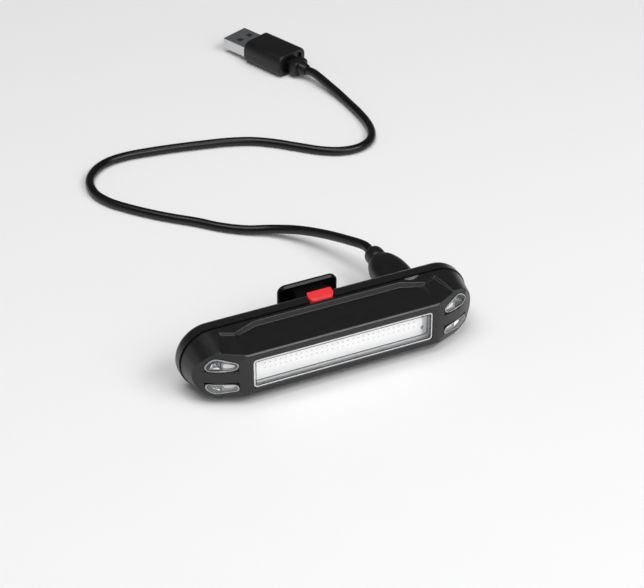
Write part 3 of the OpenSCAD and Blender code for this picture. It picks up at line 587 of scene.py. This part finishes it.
def large_relief():
    sections = [(ROOT_START, *ROOT), (BLOCK_START, *ROOT)]
    sections += edge_sections(BLOCK_START, 1, BLOCK, BLOCK_CORNER, BLOCK_FRONT_ROUND)[::-1]
    sections += edge_sections(BLOCK_END, -1, BLOCK, BLOCK_CORNER, BLOCK_BACK_ROUND)
    for along, change, corner in SLEEVE_STEPS:
        sections.append((along, SLEEVE + change, SLEEVE + change, corner))
    mesh = loft("large_plug_strain_relief", sections, large_place)
    piece = add_piece("large_plug_strain_relief", mesh, [PLUG], "lead")
    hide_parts("large_plug_relief")
    return piece


large_plug_pieces = [large_grip(), large_relief()]


# Window: a clear pane on a flange behind the bezel, with a raised edge in a light colour as a painted
# highlight and a groove inside it in a dark colour as painted shade

FLANGE_WIDTH = 0.9 * MM
FLANGE_FRONT = 1.6 * MM
FLANGE_CORNER = 1.7 * MM
WINDOW_CORNER = 1.2 * MM
EDGE, GROOVE, CLEAR = range(3)
# Depth behind the bezel face and inset from the opening's edge in millimetres, and the finish that follows
PANE_STEPS = [
    (FLANGE_FRONT / MM, 0, GROOVE), (0.42, 0, EDGE), (0.22, 0.08, EDGE), (0.15, 0.2, EDGE),
    (0.16, 0.4, EDGE), (0.26, 0.52, GROOVE), (0.42, 0.56, GROOVE), (0.42, 0.86, GROOVE),
    (0.3, 0.9, CLEAR),
]

face_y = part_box("front_case")[0].y
lens_low, lens_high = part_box("window_lens")
middle_z = (lens_low.z + lens_high.z) / 2


def window_pane():
    flange = (lens_high.x - lens_low.x, lens_high.z - lens_low.z)
    opening = (flange[0] - 2 * FLANGE_WIDTH, flange[1] - 2 * FLANGE_WIDTH)
    sections = [(lens_high.y - face_y, *flange, FLANGE_CORNER), (FLANGE_FRONT, *flange, FLANGE_CORNER)]
    bands = [CLEAR, CLEAR]
    for depth, inset, finish in PANE_STEPS:
        lost = 2 * inset * MM
        sections.append((depth * MM, opening[0] - lost, opening[1] - lost, WINDOW_CORNER - inset * MM))
        bands.append(finish)
    bands = bands[:-1] + [CLEAR, CLEAR]
    mesh = loft("window_pane", sections, Matrix.Translation((0, face_y, middle_z)), bands)
    piece = add_piece("window_pane", mesh, [PANE_EDGE_HIGHLIGHT, PANE_GROOVE_SHADE, PANE], "light")
    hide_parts("window_lens")


window_pane()


# On the LED board: the white strip, a dark line round the board's open part as a painted shadow line, and two
# solder joints

REFLECTOR_RIM = 1 * MM
BARE_END = 2 * MM
STRIP_CORNER = 0.3 * MM
STRIP_SIDE = 0.05 * MM
STRIP_FRONT = 0.07 * MM
STRIP_ROUND = 0.1 * MM
LINE_WIDTH = 0.34 * MM
LINE_FRONT = 0.14 * MM
LINE_CORNER = 0.8 * MM
SOLDER_RADIUS = 0.5 * MM
SOLDER_STRETCH = (1.1, 0.5, 1.5)
SOLDER_INSET = 2 * MM
SOLDER_HEIGHTS = (2.4 * MM, -2 * MM)

reflector_low, reflector_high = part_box("reflector")
open_width = reflector_high.x - reflector_low.x - 2 * REFLECTOR_RIM
open_height = reflector_high.z - reflector_low.z - 2 * REFLECTOR_RIM
board_place = Matrix.Translation((0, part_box("led_board")[0].y, middle_z))


def led_strip():
    width = open_width - BARE_END
    sections = [
        (0, width, open_height, STRIP_CORNER),
        (-STRIP_SIDE, width, open_height, STRIP_CORNER),
        (-STRIP_FRONT, width - STRIP_ROUND, open_height - STRIP_ROUND, STRIP_CORNER),
    ]
    mesh = loft("led_strip", sections, board_place @ Matrix.Translation((-BARE_END / 2, 0, 0)))
    add_piece("led_strip", mesh, [STRIP_WHITE_PAINTED_GLOW], "light")


# Dark ring round the open part of the board: a painted shadow line
def strip_shadow_line():
    made = bmesh.new()
    rings = []
    for inset, front in ((0, 0), (0, LINE_FRONT), (LINE_WIDTH, LINE_FRONT), (LINE_WIDTH, 0)):
        ring = rounded_ring(open_width - 2 * inset, open_height - 2 * inset, LINE_CORNER)
        rings.append([made.verts.new((x, -front, z)) for x, z in ring])
    for first, second in zip(rings, rings[1:] + rings[:1]):
        join_rings(made, first, second)
    mesh = finish_mesh("strip_shadow_line", made, board_place)
    add_piece("strip_shadow_line", mesh, [STRIP_SHADOW_LINE], "light")


def strip_solder():
    made = bmesh.new()
    for height in SOLDER_HEIGHTS:
        dome = bmesh.ops.create_uvsphere(made, u_segments=20, v_segments=12, radius=SOLDER_RADIUS)["verts"]
        for vert in dome:
            x, y, z = (value * stretch for value, stretch in zip(vert.co, SOLDER_STRETCH))
            vert.co = (open_width / 2 - SOLDER_INSET + x, min(0, y), height + z)
    mesh = finish_mesh("strip_solder", made, board_place)
    add_piece("strip_solder", mesh, [SOLDER], "light")


led_strip()
strip_shadow_line()
strip_solder()


# Side lenses: in each opening a black gasket, on it a leaf-shaped face with a black border and a rim in a
# light colour as a painted highlight, clear above and, below, paler and more covering as a painted sheen, and
# behind it a bright cell and a dark prism. Places are in
# millimetres: u along the end face from the bezel's end, and v up from the middle.

END_ANGLE = math.radians(16.5)
BEZEL_END = 32.75 * MM
LENS_MIDDLE = (8, 3.9)
LENS_STEPS = 96
LEAF_STEPS = 6
CELL_STEPS = 5
# Past its inner plane, the end face leans back in one plane and turns back in another
LEAN_ALONG = 0.1466
LEAN_UP = 0.2017
LEAN_FROM = 7.8
OUTER_FROM = 9.7
OUTER_SLOPE = math.tan(math.radians(20.5))
# The case's opening: a polygon, cut on its outer side by a circle (u, v, radius)
OPENING = [(3.2, 2.2), (3.2, 3.95), (3.75, 4.7), (9.5, 6.9), (14.2, 6.9), (14.2, 2.2)]
OPENING_CIRCLE = (7.5, 0, 6.7)
LEAF = [
    (3.1, 4.2), (3.3, 5), (4.3, 5.5), (5.9, 5.8), (7.7, 6.25), (9.4, 6.55), (10.9, 6.5), (12.3, 5.7),
    (13.4, 4.6), (13.7, 3.5), (13.1, 2.6), (11.6, 2.42), (9.4, 2.4), (7, 2.45), (5, 2.65), (3.7, 3.1),
]
LEAF_LOWEST = 2.12
BORDER = 0.3
NECK_GAP = 0.12
NEAREST = 0.05
CELL = [(3.9, 3), (8, 2.9), (8.1, 5.4), (4.4, 4.5)]
CELL_FLOOR = [(4.5, 3.4), (7.6, 3.3), (7.6, 4.5), (4.8, 4.2)]
CELL_DEPTHS = (0.4, 0.8, 1.3)
PRISM = [(8.8, 3), (12.2, 2.95), (11.3, 4.6), (9, 5.5)]
PRISM_ROOT = [(10, 3.6), (10.9, 3.6), (10.7, 4.1), (10, 4.3)]
PRISM_DEPTHS = (0.6, 1.6, 2.3)
GASKET, RIM, FACE, FACET, WELL, MIRROR = range(6)
PARALLEL = 1e-9
SLACK = 1e-6


def lens_face_depth(u, v):
    """Depth of the end face behind the plane of its inner part, where a side lens is."""
    lean = LEAN_ALONG * u + LEAN_UP * (v - LEAN_FROM)
    outer = (u - OUTER_FROM) * OUTER_SLOPE
    return max(0, lean, outer)


def cross(a, b):
    return a[0] * b[1] - a[1] * b[0]


def reach(outline, turn):
    """Distance from the lens's middle to a closed outline in a direction."""
    heading = (math.cos(turn), math.sin(turn))
    points = [(u - LENS_MIDDLE[0], v - LENS_MIDDLE[1]) for u, v in outline]
    best = 0
    for a, b in zip(points, points[1:] + points[:1]):
        across = cross(heading, (b[0] - a[0], b[1] - a[1]))
        if abs(across) < PARALLEL:
            continue
        distance = cross(a, b) / across
        share = cross(a, heading) / across
        if distance > 0 and -SLACK <= share <= 1 + SLACK:
            best = max(best, distance)
    return best


def opening_reach(turn):
    """Distance from the lens's middle to the edge of the case's opening."""
    u, v, radius = OPENING_CIRCLE
    du, dv = LENS_MIDDLE[0] - u, LENS_MIDDLE[1] - v
    along = du * math.cos(turn) + dv * math.sin(turn)
    circle = -along + math.sqrt(along * along - du * du - dv * dv + radius * radius)
    edge = reach(OPENING, turn)
    return min(edge, circle) if math.cos(turn) > 0 else edge


def lens_profile(turns):
    """Rings of a side lens, from the gasket's back to the middle of the face: distances from the lens's
    middle, inset, depth below the end face, and the finish from here to the next ring."""
    leaf_line = closed_line(LEAF, LEAF_STEPS)
    hole = [opening_reach(turn) for turn in turns]
    leaf = [reach(leaf_line, turn) for turn in turns]
    neck = [min(h - NECK_GAP, d) for h, d in zip(hole, leaf)]
    outer_face = [0.66 * d for d in leaf]
    inner_face = [0.33 * d for d in leaf]
    return [
        (hole, 0, 2.7, GASKET), (hole, 0, 0.42, GASKET), (hole, 0.1, 0.3, GASKET),
        (neck, 0, 0.02, GASKET), (neck, 0, -0.01, GASKET),
        (leaf, -BORDER, -0.01, GASKET), (leaf, -BORDER, -0.03, GASKET),
        (leaf, -0.02, -0.05, RIM), (leaf, 0.02, -0.12, RIM),
        (leaf, 0.12, -0.17, RIM), (leaf, 0.34, -0.16, RIM),
        (leaf, 0.46, -0.07, FACE), (outer_face, 0, -0.08, FACE), (inner_face, 0, -0.08, FACE),
    ]


def side_lens(name, side, level):
    turns = [2 * math.pi * k / LENS_STEPS for k in range(LENS_STEPS)]
    outward = Vector((side * math.sin(END_ANGLE), -math.cos(END_ANGLE), 0))
    along = Vector((side * math.cos(END_ANGLE), math.sin(END_ANGLE), 0))
    up = Vector((0, 0, level))
    origin = Vector((side * BEZEL_END, face_y, middle_z))
    made = bmesh.new()

    def place(u, v, sunk):
        depth = lens_face_depth(u, v) + sunk
        return made.verts.new(origin + (along * u + up * v - outward * depth) * MM)

    def ring(distances, inset, sunk):
        points = []
        for turn, distance in zip(turns, distances):
            d = max(distance - inset, NEAREST)
            v = max(LENS_MIDDLE[1] + d * math.sin(turn), LEAF_LOWEST)
            points.append(place(LENS_MIDDLE[0] + d * math.cos(turn), v, sunk))
        return points

    def cup(mouth_line, floor_line, depths, wall, floor):
        """A hollow block behind the face; depths are those of its mouth, its floor and its back."""
        mouth, base, back = ([place(*p, depth) for p in line]
                             for line, depth in zip((mouth_line, floor_line, mouth_line), depths))
        join_rings(made, mouth, base, wall)
        join_rings(made, back, mouth, GASKET)
        close_ends(made, [base, back], floor, GASKET)

    profile = lens_profile(turns)
    rings = [ring(distances, inset, sunk) for distances, inset, sunk, finish in profile]
    for first, second, step in zip(rings, rings[1:], profile):
        join_rings(made, first, second, step[3])
    close_ends(made, rings, GASKET, FACE)
    cup(closed_line(CELL, CELL_STEPS), closed_line(CELL_FLOOR, CELL_STEPS), CELL_DEPTHS, FACET, WELL)
    cup(PRISM, PRISM_ROOT, PRISM_DEPTHS, MIRROR, MIRROR)

    face = SIDE_PANE if level > 0 else SIDE_PANE_LOW_SHEEN
    materials = [SIDE_GASKET, SIDE_EDGE_HIGHLIGHT, face, SIDE_CUP, SIDE_WELL, SIDE_PRISM]
    mesh = finish_mesh("lens_" + name, made, Matrix.Identity(4), sharp=30)
    piece = add_piece("lens_" + name, mesh, materials, "light")
    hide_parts("side_lens_" + name)


for side_name, side in (("left", -1), ("right", 1)):
    for level_name, level in (("upper", 1), ("lower", -1)):
        side_lens(side_name + "_" + level_name, side, level)


# Thumb notch: the slope at the back of the notch in the case's top edge, in millimetres behind the bezel
# face and above its middle; the notch is an arc sunk into the top of the seam

NOTCH_MIDDLE = port_x - 2 * MM
NOTCH_RADIUS = 5.4
NOTCH_SINK = 0.7
NOTCH_HALF = 2.5
NOTCH_STEPS = 24
SEAM_RADIUS = 10.6
CASE_DEPTH = 14
TOP_GAP = 0.03
BACK_GAP = 0.02


def notch_slope():
    top = SEAM_RADIUS - TOP_GAP
    back = CASE_DEPTH - BACK_GAP
    made = bmesh.new()
    sections = []
    for k in range(NOTCH_STEPS + 1):
        x = NOTCH_HALF * (2 * k / NOTCH_STEPS - 1)
        floor_z = SEAM_RADIUS + NOTCH_RADIUS - NOTCH_SINK - math.sqrt(NOTCH_RADIUS ** 2 - x ** 2)
        toe = back - (top - floor_z)
        corners = in_metres([(x, toe, floor_z), (x, back, floor_z), (x, back, top)])
        sections.append([made.verts.new(corner) for corner in corners])
    for first, second in zip(sections, sections[1:]):
        join_rings(made, first, second)
    close_ends(made, sections)
    mesh = finish_mesh("thumb_notch_slope", made, Matrix.Translation((NOTCH_MIDDLE, face_y, middle_z)))
    add_piece("thumb_notch_slope", mesh, [CASE], "light")


notch_slope()


# Front case: its solid with a flat bevel along the bezel's long edges

BEZEL_HALF = 7.8 * MM
BEZEL_BEVEL = 0.6 * MM


def bevelled_case():
    made = bmesh.new()
    made.from_mesh(nodes["front_case"].data)
    bmesh.ops.remove_doubles(made, verts=made.verts, dist=WELD_DISTANCE)
    for level in (1, -1):
        corner = Vector((0, face_y + BEZEL_BEVEL, middle_z + level * BEZEL_HALF))
        slope = Vector((0, -1, level)).normalized()
        everything = made.verts[:] + made.edges[:] + made.faces[:]
        cut = bmesh.ops.bisect_plane(made, geom=everything, plane_co=corner, plane_no=slope, clear_outer=True)
        rim = [part for part in cut["geom_cut"] if isinstance(part, bmesh.types.BMEdge)]
        bmesh.ops.holes_fill(made, edges=rim)
    mesh = finish_mesh("case_shell", made, Matrix.Identity(4), sharp=25)
    piece = add_piece("case_shell", mesh, [CASE], "light")
    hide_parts("front_case")
    return piece


# Softened edges of the case, the cover and the button

soften(bevelled_case(), width=0.2 * MM, clamp=False)
soften(nodes["rear_cover"], width=0.2 * MM, clamp=True)
soften(nodes["power_button"], width=0.3 * MM, clamp=True)


# Floor, world and lights, in metres and watts

FLOOR_HALF = 6.0
FLOOR_SCALE = 40
FLOOR_GREYS = (0.94, 0.955)
WORLD_STRENGTH = 0.12
LIT_PLACE = Vector((0, 0.05, 0))

floor_mesh = bpy.data.meshes.new("floor")
floor_corners = [(x * FLOOR_HALF, y * FLOOR_HALF, 0) for x, y in ((-1, -1), (1, -1), (1, 1), (-1, 1))]
floor_mesh.from_pydata(floor_corners, [], [(0, 1, 2, 3)])
floor = bpy.data.objects.new("floor", floor_mesh)
scene.collection.objects.link(floor)
floor_finish, floor_tree, floor_shader, floor_place = new_material("floor")
floor_patch = noise(floor_tree, floor_place, FLOOR_SCALE)
floor_tint = blend_colours(floor_tree, floor_patch, *([grey] * 3 for grey in FLOOR_GREYS))
floor_tree.links.new(floor_tint, floor_shader.inputs["Base Color"])
floor_shader.inputs["Roughness"].default_value = 0.7
floor_shader.inputs["Specular IOR Level"].default_value = 0.2
floor_mesh.materials.append(floor_finish)

world = bpy.data.worlds.new("world")
scene.world = world
world.use_nodes = True
background = world.node_tree.nodes["Background"]
background.inputs["Color"].default_value = (1, 1, 1, 1)
background.inputs["Strength"].default_value = WORLD_STRENGTH


def area_light(name, place, size, power):
    """A soft box of a width and height, turned to the object."""
    data = bpy.data.lights.new(name, "AREA")
    data.shape = "RECTANGLE"
    data.size, data.size_y = size
    data.energy = power
    light = bpy.data.objects.new(name, data)
    light.location = place
    heading = LIT_PLACE - Vector(place)
    light.rotation_euler = heading.to_track_quat("-Z", "Y").to_euler()
    scene.collection.objects.link(light)


area_light("top", place=(-0.3, -0.05, 1.6), size=(1.1, 1.1), power=13)
area_light("key", place=(0.15, -0.95, 0.95), size=(1.6, 0.7), power=5.4)
area_light("edge", place=(0.44, -0.66, 0.94), size=(0.9, 0.3), power=4.3)
area_light("fill", place=(0.6, -1.4, 0.5), size=(1.8, 1.4), power=4.8)
area_light("left", place=(-1.5, 0.6, 0.4), size=(1.5, 0.8), power=1.6)
